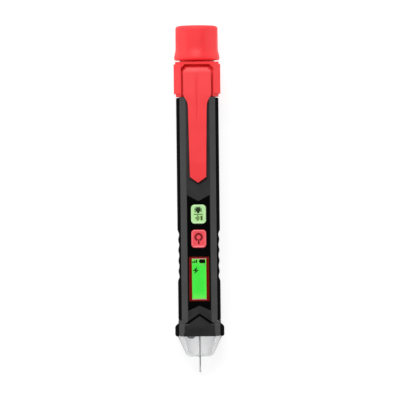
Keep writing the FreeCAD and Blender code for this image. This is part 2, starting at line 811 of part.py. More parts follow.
def pocket_clip():
    """Springy clip; a bead under its root sits in the ring's socket."""
    under_root = clip_pivot_height + 1.0
    gap_top = body_front + 1.3
    strip = prism_up(clip_plan(), 0, body_front + 10)
    side = prism_across([
        (clip_root_end + 1, under_root), (ring_start + 2.2, under_root), (ring_start - 1.2, gap_top),
        (clip_tip + 9.0, gap_top - 0.1), (clip_tip + 5.5, gap_top - 0.7), (clip_tip + 3.4, body_front + 0.3),
        (clip_tip + 1.6, body_front + 0.4), (clip_tip - 1.0, body_front + 1.0),
        (clip_tip - 1.0, body_front + 1.5), (clip_tip + 2.4, body_front + 2.3),
        (clip_tip + 8.0, body_front + 2.8), (ring_start - 3.0, body_front + 3.1),
        (ring_start + 2.0, ring_front + 1.8),
        (clip_root_end - 1.2, ring_front + 1.7), (clip_root_end + 1, ring_front + 0.6)], 10)
    bead = across_rod(clip_bead_radius, clip_root_width / 2 - 1.1)
    web = block(-clip_root_width / 2 + 1.1, clip_root_width / 2 - 1.1, clip_pivot - 0.8, clip_pivot + 0.8,
                clip_pivot_height, under_root + 0.3)
    return joined([strip.common(side), web, bead])


def tail_knob():
    """Fluted screw cap over the tail, hollow below."""
    wide = knob_radius + flare
    round_start = overall_length - 2.6
    mouth = land_radius + 0.1 + running_clearance
    mouth_end = knob_start + 3.1
    floor = disc_end
    knob = turned([(knob_start, mouth), (knob_start, wide - 0.5), (knob_start + 0.8, wide),
                   (knob_start + 1.5, wide), (knob_start + 3.2, knob_radius), (round_start, knob_radius),
                   (overall_length - 1.5, knob_radius - 0.4), (overall_length - 0.6, knob_radius - 1.4),
                   (overall_length - 0.2, knob_radius - 3.4), (overall_length, 0), (floor, 0),
                   (floor, knob_bore), (mouth_end, knob_bore), (mouth_end, mouth)])
    flute_radius = 12.0
    for index in range(flute_count):
        angle = math.radians(90 + index * 360 / flute_count)
        reach = knob_radius + flute_radius - flute_depth
        x = reach * math.cos(angle)
        height = reach * math.sin(angle)
        knob = knob.cut(rod(flute_radius, knob_start + 3.4, overall_length + 1, x, height))
    return knob


def contact_disc():
    """Sprung contact's disc, seated in the knob."""
    return rod(knob_bore - 0.15, disc_start, disc_end)


def contact_spring():
    """Coil between the last cell and the disc, in short straight runs."""
    wire = 0.35
    coil_radius = 3.4
    turns = 3
    runs = 16 * turns
    low = cells_end + wire + 0.05
    rise = contact_spring_length - 2 * wire - 0.1
    points = []
    for index in range(runs + 1):
        angle = 2 * math.pi * turns * index / runs
        points.append(Vector(coil_radius * math.cos(angle), along(low + rise * index / runs),
                             up(coil_radius * math.sin(angle))))
    profile = Part.Wire(Part.makeCircle(wire, points[0], points[1] - points[0]))
    mitred = 1
    return Part.makePolygon(points).makePipeShell([profile], True, False, mitred)


def housing_screws():
    """The four case screws as one group of solids."""
    screws = []
    for x, distance in boss_places:
        head_top = body_back + screw_head_depth
        head = post(screw_head_radius, x, distance, head_top - 1.1, head_top)
        shank = post(screw_radius - 0.05, x, distance, head_top - 0.1, board_top + 2.0)
        recess = post(0.7, x, distance, head_top - 2, head_top - 0.6)
        screws.append(head.fuse(shank).removeSplitter().cut(recess))
    return Part.makeCompound(screws)


nodes = {
    "front_shell": front_shell(),
    "rear_shell": rear_shell(),
    "left_grip": side_grip(-1),
    "right_grip": side_grip(1),
    "fascia_panel": fascia_panel(),
    "lcd_bezel": lcd_bezel(),
    "lcd_window": lcd_window(),
    "lcd_glass": lcd_glass(),
    "lcd_backlight": lcd_backlight(),
    "lcd_connector": lcd_connector(),
    "mode_button": button(mode_middle, mode_button_length),
    "power_button": button(power_middle, power_button_length),
    "mode_switch": switch_body(mode_middle),
    "mode_plunger": switch_plunger(mode_middle),
    "power_switch": switch_body(power_middle),
    "power_plunger": switch_plunger(power_middle),
    "main_board": main_board(),
    "controller_chip": controller_chip(),
    "board_parts": board_parts(),
    "buzzer": buzzer(),
    "led_board": led_board(),
    "torch_led": lamp(torch_radius, -(inner_half_width - torch_radius - 0.25), 7.6),
    "signal_led": lamp(signal_radius, inner_half_width - signal_radius - 1.3, 5.4),
    "antenna_wire": antenna_wire(),
    "sensor_nib": sensor_nib(),
    "nose_lens": nose_lens(),
    "nose_seal": nose_seal(),
    "nose_collar": nose_collar(),
    "chevron_gasket": chevron_gasket(),
    "left_collar_pad": collar_pad(-1),
    "right_collar_pad": collar_pad(1),
    "battery_tube": battery_tube(),
    "front_cell": cell(0),
    "rear_cell": cell(1),
    "head_contact": head_contact(),
    "ground_strip": ground_strip(),
    "tail_sleeve": tail_sleeve(),
    "tail_oring": tail_oring(),
    "clip_ring": clip_ring(),
    "pocket_clip": pocket_clip(),
    "tail_knob": tail_knob(),
    "contact_disc": contact_disc(),
    "contact_spring": contact_spring(),
    "housing_screws": housing_screws(),
}

os.makedirs("parts", exist_ok=True)
for name, shape in nodes.items():
    shape.exportStep("parts/" + name + ".step")
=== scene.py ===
"""Looks of the non contact voltage tester: a pen lying on its back, seen from straight above."""

import json
import math

import bmesh
import bpy
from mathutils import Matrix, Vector


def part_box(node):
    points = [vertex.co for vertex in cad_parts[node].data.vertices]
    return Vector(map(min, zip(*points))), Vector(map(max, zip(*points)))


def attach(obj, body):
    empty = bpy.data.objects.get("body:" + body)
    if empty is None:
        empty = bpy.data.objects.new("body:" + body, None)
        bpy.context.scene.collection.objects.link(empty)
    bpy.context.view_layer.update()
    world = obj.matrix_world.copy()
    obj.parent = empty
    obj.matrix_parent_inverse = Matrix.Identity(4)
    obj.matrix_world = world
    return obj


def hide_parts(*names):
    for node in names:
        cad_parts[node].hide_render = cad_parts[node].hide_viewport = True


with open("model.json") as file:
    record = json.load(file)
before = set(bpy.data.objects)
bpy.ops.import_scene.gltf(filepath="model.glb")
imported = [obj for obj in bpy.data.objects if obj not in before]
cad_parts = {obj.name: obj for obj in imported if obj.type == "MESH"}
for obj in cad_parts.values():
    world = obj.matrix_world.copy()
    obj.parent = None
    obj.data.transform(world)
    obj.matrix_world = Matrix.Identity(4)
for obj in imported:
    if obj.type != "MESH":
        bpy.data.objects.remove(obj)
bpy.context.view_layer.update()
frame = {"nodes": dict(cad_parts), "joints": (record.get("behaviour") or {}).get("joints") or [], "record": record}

MM = 0.001

# Places read from the CAD nodes
slot_of = {part["node"]: part["material_slot"] for part in frame["record"]["subparts"]}
axis_height = sum(corner.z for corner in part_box("tail_knob")) / 2
nose_height = sum(corner.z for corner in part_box("nose_lens")) / 2
front_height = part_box("fascia_panel")[1].z


# ---------------------------------------------------------------- mesh tools

weld_distance = 0.0001 * MM         # between points that are meant to be one
cad_weld_distance = 0.002 * MM      # the same on the CAD meshes
flat_angle = math.radians(0.5)      # up to which neighbouring CAD faces count as one


def finish_mesh(name, bm, material, body, nodes=(), bevel=0.0, segments=3, sharp=35,
                chosen=False):
    """Turns a bmesh into a piece with a material, rounded edges and a body to ride on.

    The rounding takes every edge sharper than sharp degrees, or, when chosen, the weighted edges.
    """
    bmesh.ops.remove_doubles(bm, verts=bm.verts, dist=weld_distance)
    bmesh.ops.recalc_face_normals(bm, faces=bm.faces)
    mesh = bpy.data.meshes.new(name)
    bm.to_mesh(mesh)
    bm.free()
    mesh.materials.append(material)
    mesh.shade_smooth()
    piece = bpy.data.objects.new(name, mesh)
    bpy.context.scene.collection.objects.link(piece)
    if bevel:
        rounding = piece.modifiers.new("rounding", "BEVEL")
        rounding.width = bevel
        rounding.segments = segments
        rounding.limit_method = "WEIGHT" if chosen else "ANGLE"
        rounding.angle_limit = math.radians(sharp)
        rounding.harden_normals = True
        even = piece.modifiers.new("even_shading", "WEIGHTED_NORMAL")
        even.keep_sharp = True
    else:
        mesh.set_sharp_from_angle(angle=math.radians(sharp))
    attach(piece, body)
    if nodes:
        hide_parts(*nodes)
    return piece


def rounded_copy(node, name, bevel):
    """A copy of one of the casing's CAD nodes with clean flat faces and rounded edges, in its place."""
    bm = bmesh.new()
    bm.from_mesh(frame["nodes"][node].data)
    bmesh.ops.remove_doubles(bm, verts=bm.verts, dist=cad_weld_distance)
    bmesh.ops.dissolve_limit(bm, angle_limit=flat_angle, verts=bm.verts, edges=bm.edges)
    slot = slot_of[node]
    finish_mesh(name, bm, slots[slot], "casing", (node,), bevel, sharp=30)


def skin(bm, rings, start_cap=True, end_cap=True, loop=False):
    """Skins closed rings of points into a tube and closes its ends."""
    rows = [[bm.verts.new(point) for point in ring] for ring in rings]
    count = len(rows[0])
    pairs = list(zip(rows, rows[1:]))
    if loop:
        pairs.append((rows[-1], rows[0]))
    for lower, upper in pairs:
        for index in range(count):
            after = (index + 1) % count
            bm.faces.new((lower[index], lower[after], upper[after], upper[index]))
    if start_cap and not loop:
        bm.faces.new(list(reversed(rows[0])))
    if end_cap and not loop:
        bm.faces.new(rows[-1])
    return rows


def turned_ring(y, radius, height, count, shape=None):
    """A ring of points round the pen's length; shape gives a factor on the radius by angle from the top."""
    points = []
    for index in range(count):
        angle = 2 * math.pi * index / count
        reach = radius * (shape(angle) if shape else 1.0)
        points.append(Vector((reach * math.sin(angle), y, height + reach * math.cos(angle))))
    return points


def rounded_rectangle(centre, half_width, half_length, corner, steps=6):
    """Plan outline of a rounded rectangle, as (x, y) pairs."""
    outline = []
    inner_x = half_width - corner
    inner_y = half_length - corner
    for side_x, side_y, start in ((1, 1, 0), (-1, 1, 90), (-1, -1, 180), (1, -1, 270)):
        for step in range(steps + 1):
            angle = math.radians(start + 90 * step / steps)
            outline.append((centre[0] + side_x * inner_x + corner * math.cos(angle),
                            centre[1] + side_y * inner_y + corner * math.sin(angle)))
    return outline


def at_height(outline, height):
    """Lifts a plan outline to a height."""
    return [Vector((x, y, height)) for x, y in outline]


def eased(value):
    """A smooth ramp from 0 to 1."""
    value = min(max(value, 0.0), 1.0)
    return value * value * (3 - 2 * value)


def between(table, place):
    """Reads the other columns of a table at a place, its rows being in order of their first column."""
    for before, after in zip(table, table[1:]):
        if place <= after[0]:
            share = (place - before[0]) / (after[0] - before[0])
            return [a + (b - a) * share for a, b in zip(before[1:], after[1:])]
    return list(table[-1][1:])


# ---------------------------------------------------------------- materials

patch_scale = 160.0         # of the mottling, about 6 mm across
patch_range = (0.3, 0.7)    # where nearly all of that noise lies
gloss_spread = 0.15         # of the roughness, from patch to patch
scratch_stretch = 0.08      # of the grain along the pen on metal
edge_shade_blend = 0.35            # how far the painted shade on a clear moulding's edges reaches inwards


def plastic(name, colour, roughness, grain=0.004, grain_scale=2600.0, mottle=0.06, specular=0.5,
            coat=0.0, ior=1.5):
    """Moulded plastic or rubber: grain of a depth in mm, faint mottling and uneven gloss."""
    material = bpy.data.materials.new(name)
    material.use_nodes = True
    nodes = material.node_tree.nodes
    links = material.node_tree.links
    shader = nodes["Principled BSDF"]
    shader.inputs["Coat Weight"].default_value = coat
    shader.inputs["Specular IOR Level"].default_value = specular
    shader.inputs["IOR"].default_value = ior
    place = nodes.new("ShaderNodeTexCoord")

    def noise(scale, detail, label):
        node = nodes.new("ShaderNodeTexNoise")
        node.name = label
        node.inputs["Scale"].default_value = scale
        node.inputs["Detail"].default_value = detail
        links.new(place.outputs["Object"], node.inputs["Vector"])
        return node

    fine = noise(grain_scale, 4.0, "grain")
    patches = noise(patch_scale, 5.0, "patches")

    tint = nodes.new("ShaderNodeMix")
    tint.data_type = "RGBA"
    tint.name = "tint"
    tint.inputs["A"].default_value = (*[channel * (1 - mottle) for channel in colour], 1)
    tint.inputs["B"].default_value = (*[min(channel * (1 + mottle), 1.0) for channel in colour], 1)
    links.new(patches.outputs["Fac"], tint.inputs["Factor"])
    links.new(tint.outputs["Result"], shader.inputs["Base Color"])

    gloss = nodes.new("ShaderNodeMapRange")
    gloss.inputs["From Min"].default_value = patch_range[0]
    gloss.inputs["From Max"].default_value = patch_range[1]
    gloss.inputs["To Min"].default_value = roughness * (1 - gloss_spread)
    gloss.inputs["To Max"].default_value = min(roughness * (1 + gloss_spread), 1.0)
    links.new(patches.outputs["Fac"], gloss.inputs["Value"])
    links.new(gloss.outputs["Result"], shader.inputs["Roughness"])

    bump = nodes.new("ShaderNodeBump")
    bump.inputs["Distance"].default_value = grain * MM
    links.new(fine.outputs["Fac"], bump.inputs["Height"])
    links.new(bump.outputs["Normal"], shader.inputs["Normal"])
    return material


def clear(name, colour, roughness, ior, passing=1.0, rim=None):
    """Clear moulding with a faintly uneven surface; rim is a painted shade where it is seen edge on."""
    material = plastic(name, colour, roughness, grain=0.002, grain_scale=400.0, mottle=0.01, ior=ior)
    nodes = material.node_tree.nodes
    links = material.node_tree.links
    shader = nodes["Principled BSDF"]
    shader.inputs["Transmission Weight"].default_value = passing
    if rim:
        # painted shade: greys the colour where the surface is seen edge on
        facing = nodes.new("ShaderNodeLayerWeight")
        facing.inputs["Blend"].default_value = edge_shade_blend
        shade = nodes.new("ShaderNodeMix")
        shade.data_type = "RGBA"
        shade.inputs["B"].default_value = (*rim, 1)
        links.new(facing.outputs["Facing"], shade.inputs["Factor"])
        links.new(nodes["tint"].outputs["Result"], shade.inputs["A"])
        links.new(shade.outputs["Result"], shader.inputs["Base Color"])
    return material


def metal(name, colour, roughness):
    """Plated or drawn metal with fine scratches along the pen."""
    material = plastic(name, colour, roughness, grain=0.002, grain_scale=1500.0)
    nodes = material.node_tree.nodes
    links = material.node_tree.links
    nodes["Principled BSDF"].inputs["Metallic"].default_value = 1.0
    stretch = nodes.new("ShaderNodeMapping")
    stretch.inputs["Scale"].default_value = (1.0, scratch_stretch, 1.0)
    place = next(node for node in nodes if node.type == "TEX_COORD")
    links.new(place.outputs["Object"], stretch.inputs["Vector"])
    links.new(stretch.outputs["Vector"], nodes["grain"].inputs["Vector"])
    return material


def glowing(name, colour, pale, strength):
    """A backlit face, faintly uneven, and paler towards its edges by a painted reflection."""
    unlit_share = 0.12
    unevenness = 0.07
    # where the painted reflection that pales the edges starts and is full, as share of the face's size from its
    # middle
    reflection_start = 0.26
    reflection_full = 0.47
    # strength of that painted reflection
    reflection_share = 0.75
    material = plastic(name, [channel * unlit_share for channel in colour], 0.25, mottle=0.03, specular=0.2)
    nodes = material.node_tree.nodes
    links = material.node_tree.links
    shader = nodes["Principled BSDF"]
    shader.inputs["Emission Strength"].default_value = strength
    glow = nodes.new("ShaderNodeMix")
    glow.data_type = "RGBA"
    glow.inputs["A"].default_value = (*[channel * (1 - unevenness) for channel in colour], 1)
    glow.inputs["B"].default_value = (*[min(channel * (1 + unevenness), 1.0) for channel in colour], 1)
    links.new(nodes["patches"].outputs["Fac"], glow.inputs["Factor"])
    place = next(node for node in nodes if node.type == "TEX_COORD")
    offset = nodes.new("ShaderNodeVectorMath")
    offset.operation = "SUBTRACT"
    offset.inputs[1].default_value = (0.5, 0.5, 0.5)
    links.new(place.outputs["Generated"], offset.inputs[0])
    size = nodes.new("ShaderNodeVectorMath")
    size.operation = "ABSOLUTE"
    links.new(offset.outputs["Vector"], size.inputs[0])
    parts = nodes.new("ShaderNodeSeparateXYZ")
    links.new(size.outputs["Vector"], parts.inputs["Vector"])
    furthest = nodes.new("ShaderNodeMath")
    furthest.operation = "MAXIMUM"
    links.new(parts.outputs["X"], furthest.inputs[0])
    links.new(parts.outputs["Y"], furthest.inputs[1])
    edge = nodes.new("ShaderNodeMapRange")
    edge.interpolation_type = "SMOOTHSTEP"
    edge.inputs["From Min"].default_value = reflection_start
    edge.inputs["From Max"].default_value = reflection_full
    edge.inputs["To Max"].default_value = reflection_share
    links.new(furthest.outputs["Value"], edge.inputs["Value"])
    # painted reflection: mixes the pale colour over the glow towards the face's edges
    paler = nodes.new("ShaderNodeMix")
    paler.data_type = "RGBA"
    paler.inputs["B"].default_value = (*pale, 1)
    links.new(edge.outputs["Result"], paler.inputs["Factor"])
    links.new(glow.outputs["Result"], paler.inputs["A"])
    links.new(paler.outputs["Result"], shader.inputs["Emission Color"])
    return material


slots = {
    "case_black": plastic("case_black", (0.0075, 0.0075, 0.0078), 0.42, grain=0.008, specular=0.55),
    "grip_rubber": plastic("grip_rubber", (0.0018, 0.0018, 0.0019), 0.60, grain=0.012, specular=0.3,
                           ior=1.18),
    "fascia_gloss": plastic("fascia_gloss", (0.0008, 0.0008, 0.0009), 0.14, grain=0.001, specular=0.22),
    "bezel_red": plastic("bezel_red", (0.15, 0.0008, 0.0008), 0.22, grain=0.002, specular=0.3),
    "window_clear": clear("window_clear", (0.96, 0.99, 0.96), 0.02, 1.35),
    # lcd_green's second colour is a painted reflection on the display's edges
    "lcd_green": glowing("lcd_green", (0.060, 0.79, 0.060), (0.17, 0.86, 0.11), 1.0),
    "light_guide": plastic("light_guide", (0.7, 0.85, 0.7), 0.3),
    "connector_rubber": plastic("connector_rubber", (0.35, 0.35, 0.33), 0.6),
    "button_green": plastic("button_green", (0.44, 0.77, 0.31), 0.45, mottle=0.03, specular=0.4),
    "button_red": plastic("button_red", (0.86, 0.070, 0.092), 0.45, mottle=0.03, specular=0.4),
    "switch_metal": metal("switch_metal", (0.6, 0.6, 0.6), 0.35),
    "plunger_black": plastic("plunger_black", (0.02, 0.02, 0.02), 0.4),
    "board_green": plastic("board_green", (0.01, 0.14, 0.05), 0.35),
    "chip_black": plastic("chip_black", (0.02, 0.02, 0.022), 0.5),
    "buzzer_black": plastic("buzzer_black", (0.02, 0.02, 0.02), 0.35),
    "led_clear": clear("led_clear", (0.95, 0.96, 1.0), 0.05, 1.53),
    "led_red": clear("led_red", (0.95, 0.12, 0.08), 0.08, 1.53),
    "wire_steel": metal("wire_steel", (0.55, 0.55, 0.56), 0.45),
    "nib_clear": clear("nib_clear", (0.985, 0.988, 0.988), 0.03, 1.02),
    # lens_clear: grey painted shade where its wall is seen edge on
    "lens_clear": clear("lens_clear", (0.975, 0.975, 0.98), 0.12, 1.06, passing=0.90,
                        rim=(0.55, 0.55, 0.56)),
    "seal_rubber": plastic("seal_rubber", (0.01, 0.01, 0.01), 0.5),
    "seal_clear": plastic("seal_clear", (0.82, 0.82, 0.82), 0.5),
    "tube_grey": plastic("tube_grey", (0.2, 0.2, 0.21), 0.5),
    "cell_jacket": plastic("cell_jacket", (0.05, 0.07, 0.14), 0.25, coat=0.4),
    "contact_brass": metal("contact_brass", (0.72, 0.55, 0.25), 0.3),
    "cap_red": plastic("cap_red", (0.88, 0.034, 0.040), 0.50, specular=0.34),
    "clip_red": plastic("clip_red", (0.88, 0.050, 0.056), 0.42, mottle=0.04, specular=0.28),
    "spring_steel": metal("spring_steel", (0.7, 0.7, 0.7), 0.2),
    "screw_steel": metal("screw_steel", (0.35, 0.35, 0.36), 0.35),
}

inks = {
    "button_mark_green": plastic("button_mark_green", (0.006, 0.028, 0.003), 0.5, specular=0.3),
    "button_mark_red": plastic("button_mark_red", (0.20, 0.003, 0.005), 0.5, specular=0.3),
    "button_mark_olive": plastic("button_mark_olive", (0.06, 0.12, 0.012), 0.5, specular=0.3),
    # paler inks for painted highlights on the keys' rims
    "button_highlight_green": plastic("button_highlight_green", (0.55, 0.82, 0.46), 0.4, specular=0.4),
    "button_highlight_red": plastic("button_highlight_red", (0.84, 0.15, 0.17), 0.4, specular=0.4),
    # painted highlight for the display frame's inner lips
    "bezel_painted_highlight": plastic("bezel_painted_highlight", (0.50, 0.16, 0.17), 0.35, specular=0.4),
    "lcd_segment": plastic("lcd_segment", (0.001, 0.004, 0.001), 0.4, specular=0.2),
    "lcd_faint": plastic("lcd_faint", (0.003, 0.075, 0.003), 0.4, specular=0.2),
    "lcd_pale": plastic("lcd_pale", (0.40, 0.80, 0.34), 0.4, specular=0.2),
}


def dress_cad_nodes():
    """Gives every CAD node its slot's material."""
    for node, slot in slot_of.items():
        for material_slot in frame["nodes"][node].material_slots:
            material_slot.material = slots[slot]


# ---------------------------------------------------------------- case

def make_case():
    """Shells, collar, ring and display frame: the CAD shapes with moulded edges."""
    # CAD node, piece and rounding in mm
    mouldings = [
        ("front_shell", "case_front", 0.20),
        ("rear_shell", "case_rear", 0.20),
        ("nose_collar", "collar_moulding", 0.25),
        ("chevron_gasket", "collar_gasket", 0.05),
        ("left_collar_pad", "collar_pad_left", 0.40),
        ("right_collar_pad", "collar_pad_right", 0.40),
        ("clip_ring", "ring_moulding", 0.30),
        ("fascia_panel", "fascia_plate", 0.10),
        ("lcd_bezel", "display_frame", 0.12)]
    for node, name, rounding in mouldings:
        rounded_copy(node, name, rounding * MM)


grip_thickness = 1.5 * MM
wave_count = 5
wave_pitch = 4.74 * MM
wave_depth = 0.7 * MM
crest_drop = 0.3 * MM       # of the crests between the waves, below the strip's face
wave_offset = 1.2 * MM      # of the first wave from the display frame's middle, towards the nose


def make_grip(node, name, side):
    """A soft side strip: a rounded section carried along the pen, thinned by the finger waves."""
    low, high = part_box(node)
    outer = max(abs(low.x), abs(high.x))
    inner = outer - grip_thickness
    lcd_low, lcd_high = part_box("lcd_bezel")
    wave_start = (lcd_low.y + lcd_high.y) / 2 - wave_offset
    wave_end = wave_start + wave_count * wave_pitch

    def depth(y):
        if not wave_start < y < wave_end:
            return 0.0
        phase = (y - wave_start) / wave_pitch
        entry = min(phase, wave_count - phase)
        if entry < 0.5:
            return wave_depth * eased(2 * entry)
        middle = (wave_depth + crest_drop) / 2
        return middle - (wave_depth - crest_drop) / 2 * math.cos(2 * math.pi * phase)

    slope = 1.4 * MM            # height over which the face rolls into the upper and lower edges
    slope_foot = 1.25           # share of the slope at which the flat face begins
    end_round = 0.7 * MM
    end_fall = 0.35             # share of the end's rounding that the height loses
    seat_width = 0.3 * MM
    seat_drop = 0.05 * MM
    fullness = 1.1              # power that shapes the roll from the face to the edge
    first = low.y + end_round
    last = high.y - end_round
    near_end = (0.0, 0.08 * MM, 0.3 * MM, end_round)
    wave_steps = 14
    plain_steps = 12
    stations = [low.y + offset for offset in near_end]
    stations += [first + (wave_start - first) * k / plain_steps for k in range(1, plain_steps)]
    stations += [wave_start + wave_pitch * k / wave_steps for k in range(wave_count * wave_steps + 1)]
    stations += [wave_end + (last - wave_end) * k / plain_steps for k in range(1, plain_steps)]
    stations += [high.y - offset for offset in reversed(near_end)]
    rings = []
    for y in stations:
        from_end = min(y - low.y, high.y - y)
        curve = 1 - min(from_end / end_round, 1.0)
        inset = end_round * (1 - math.sqrt(max(1 - curve * curve, 0.0)))
        reach = outer - depth(y) - inset
        share = (reach - inner) / grip_thickness
        top = high.z - end_fall * inset
        bottom = low.z + end_fall * inset
        section = [(inner, top), (inner + seat_width, top - seat_drop)]
        for angle in (30, 48, 66, 84):
            bend = math.radians(angle)
            across = (reach - inner) * math.sin(bend) ** fullness
            section.append((inner + across, top - slope * share * (1 - math.cos(bend))))
        section.append((reach, top - slope * share * slope_foot))
        mirrored = [(x, bottom + (top - z)) for x, z in reversed(section)]
        rings.append([Vector((side * x, y, z)) for x, z in section + mirrored])
    bm = bmesh.new()
    skin(bm, rings)
    finish_mesh(name, bm, slots["grip_rubber"], "casing", (node,), sharp=50)


# ---------------------------------------------------------------- knob

knob_flutes = 8
flute_depth = 0.32 * MM
flute_turn = math.radians(-3.0)     # of the whole pattern round the knob
ridge_softness = 0.01               # keeps the ridges between the flutes round
flare = 0.40 * MM                   # of the rim beyond the side
tail_round = 2.2 * MM


def knob_outside(length, wide):
    """The knob's outer profile, as distance from the rim and reach from the axis."""
    radius = wide - flare
    # distance from the rim and drop below its widest reach, in mm
    rim = [(0.0, 0.60), (0.10, 0.30), (0.35, 0.12), (0.8, 0.0), (1.4, 0.02), (2.1, 0.12), (2.8, 0.28),
           (3.5, 0.35)]
    profile = [(distance * MM, wide - drop * MM) for distance, drop in rim]
    side_start = 6.0 * MM
    side_end = length - tail_round
    side_steps = 6
    profile += [(4.2 * MM, radius), (side_start, radius)]
    for step in range(1, side_steps + 1):
        profile.append((side_start + (side_end - side_start) * step / side_steps, radius))
    bend = 1.9 * MM
    bend_steps = 7
    for step in range(1, bend_steps + 1):
        angle = math.radians(80 * step / bend_steps)
        profile.append((side_end + bend * math.sin(angle), radius - bend * (1 - math.cos(angle))))
    # distance from the tail and reach inwards of the side, in mm: the face is slightly crowned
    profile += [(length - fall * MM, radius - inset * MM) for fall, inset in ((0.16, 2.6), (0.04, 5.0))]
    return profile


def make_knob():
    """Fluted cap: a turned profile with a scalloped side, hollow towards the case."""
    low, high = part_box("tail_knob")
    disc_low, disc_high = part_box("contact_disc")
    wide = (high.x - low.x) / 2
    length = high.y - low.y
    disc_gap = 0.15 * MM
    bore = (disc_high.x - disc_low.x) / 2 + disc_gap
    mouth = bore + 0.6 * MM
    mouth_length = 3.1 * MM
    hub = 0.3 * MM                      # small flat round the axis that closes each face
    disc_end = disc_high.y - low.y
    outer = knob_outside(length, wide) + [(length, hub)]
    inner = [(disc_end, hub), (disc_end, bore), (mouth_length, bore), (mouth_length, mouth), (0.0, mouth)]
    flutes_start = 2.6 * MM
    flutes_full = 4.8 * MM
    flutes_fade = length - 2.2 * MM
    flutes_end = length - 0.6 * MM
    count = 160
    rings = []
    for distance, reach in outer:
        fade = eased((distance - flutes_start) / (flutes_full - flutes_start))
        fade *= eased((flutes_end - distance) / (flutes_end - flutes_fade))

        def scallop(angle):
            groove = math.sqrt(math.cos(knob_flutes / 2 * (angle - flute_turn)) ** 2 + ridge_softness)
            return 1 - fade * flute_depth * groove / reach

        rings.append(turned_ring(low.y + distance, reach, axis_height, count, scallop))
    rings += [turned_ring(low.y + distance, reach, axis_height, count) for distance, reach in inner]
    bm = bmesh.new()
    outside = skin(bm, rings[:len(outer)], start_cap=False)
    inside = skin(bm, rings[len(outer):], end_cap=False)
    for index in range(count):
        after = (index + 1) % count
        bm.faces.new((inside[-1][index], inside[-1][after], outside[0][after], outside[0][index]))
    finish_mesh("knob_cap", bm, slots["cap_red"], "knob", ("tail_knob",), sharp=40)


# ---------------------------------------------------------------- clip

def make_clip():
    """Springy clip: pointed strip, waist and root plate, with softened edges and a centre crease."""
    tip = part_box("pocket_clip")[0].y
    # distance from the tip, half width, top and underside above the case front, in mm
    shape = [
        (0.00, 0.10, 1.75, 1.00), (2.60, 3.65, 2.30, 0.33), (3.40, 3.66, 2.37, 0.30),
        (5.50, 3.70, 2.58, 0.62), (9.00, 3.78, 2.83, 1.20), (20.0, 3.95, 2.93, 1.25),
        (28.0, 4.08, 3.00, 1.27), (33.0, 4.17, 3.05, 1.29), (35.4, 4.32, 3.04, 1.30),
        (36.6, 4.62, 3.01, 1.30), (37.6, 5.15, 2.98, 1.30), (38.6, 5.72, 2.94, 1.28),
        (39.6, 6.13, 2.90, 0.80), (40.5, 6.30, 2.85, 0.35), (42.1, 6.30, 2.76, -0.50),
        (46.0, 6.30, 2.54, -0.50), (50.2, 6.30, 2.31, -0.50), (51.0, 5.50, 2.16, -0.50),
        (51.9, 4.60, 1.85, -0.50)]
    # places along the clip, in mm from the tip
    roof_start = 20.0
    roof_full = 35.0
    crease_start = 24.0
    crease_full = 34.0
    crease_fade = 44.0
    crease_end = 49.5
    roof_drop = 0.16 * MM       # of the long edges below the middle
    crease_depth = 0.50 * MM
    crease_share = 0.13         # of the half width
    half_shares = (0.06, crease_share, 0.22, 0.42, 0.72, 1.0)
    shares = [-share for share in reversed(half_shares)] + [0.0] + list(half_shares)
    # how much of the rounding each kind of edge gets
    upper_edge = 1.0
    lower_edge = 0.4
    root_edge = 0.8
    station_step = 1.3
    stations = sorted({row[0] for row in shape} | {k * station_step for k in range(3, 39)})
    rows = []
    bm = bmesh.new()
    for station in stations:
        half, top, under = [value * MM for value in between(shape, station)]
        y = tip + station * MM
        crease = crease_depth * eased((station - crease_start) / (crease_full - crease_start))
        crease *= eased((crease_end - station) / (crease_end - crease_fade))
        upper = []
        for share in shares:
            roof = roof_drop * abs(share) * eased((station - roof_start) / (roof_full - roof_start))
            groove = crease * max(0.0, 1 - abs(share) / crease_share)
            upper.append(bm.verts.new((share * half, y, front_height + top - roof - groove)))
        lower = [bm.verts.new((share * half, y, front_height + under)) for share in reversed(shares)]
        rows.append((upper, lower))
    weights = bm.edges.layers.float.new("bevel_weight_edge")
    count = len(shares)
    for (upper, lower), (next_upper, next_lower) in zip(rows, rows[1:]):
        for index in range(count - 1):
            bm.faces.new((upper[index], upper[index + 1], next_upper[index + 1], next_upper[index]))
            bm.faces.new((lower[index], lower[index + 1], next_lower[index + 1], next_lower[index]))
        bm.faces.new((lower[-1], upper[0], next_upper[0], next_lower[-1]))
        bm.faces.new((upper[-1], lower[0], next_lower[0], next_upper[-1]))
        for side in (0, -1):
            bm.edges.get((upper[side], next_upper[side]))[weights] = upper_edge
            bm.edges.get((lower[side], next_lower[side]))[weights] = lower_edge
    for upper, lower in (rows[0], rows[-1]):
        bm.faces.new(upper + lower)
    for index in range(count - 1):
        bm.edges.get((rows[-1][0][index], rows[-1][0][index + 1]))[weights] = root_edge
    finish_mesh("clip_strip", bm, slots["clip_red"], "clip", ("pocket_clip",), 0.55 * MM,
                chosen=True)


def make_clip_root():
    """The bead and web below the clip's root, which turn in the ring's socket."""
    joint = next(joint for joint in frame["joints"] if joint["name"] == "pocket_clip_flex")
    pivot = Vector(joint["pos_m"])
    end_gap = 1.1 * MM
    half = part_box("pocket_clip")[1].x - end_gap
    bead = 1.2 * MM
    neck = 0.8 * MM
    top = front_height - 0.4 * MM
    section = []
    opening = math.asin(neck / bead)
    steps = 18
    for step in range(steps + 1):
        angle = opening + (2 * math.pi - 2 * opening) * step / steps
        section.append((pivot.y + bead * math.sin(angle), pivot.z + bead * math.cos(angle)))
    section += [(pivot.y - neck, top), (pivot.y + neck, top)]
    rings = [[Vector((x, y, z)) for y, z in section] for x in (-half, half)]
    bm = bmesh.new()
    skin(bm, rings)
    finish_mesh("clip_bead", bm, slots["clip_red"], "clip", (), 0.12 * MM, 2)


# ---------------------------------------------------------------- buttons

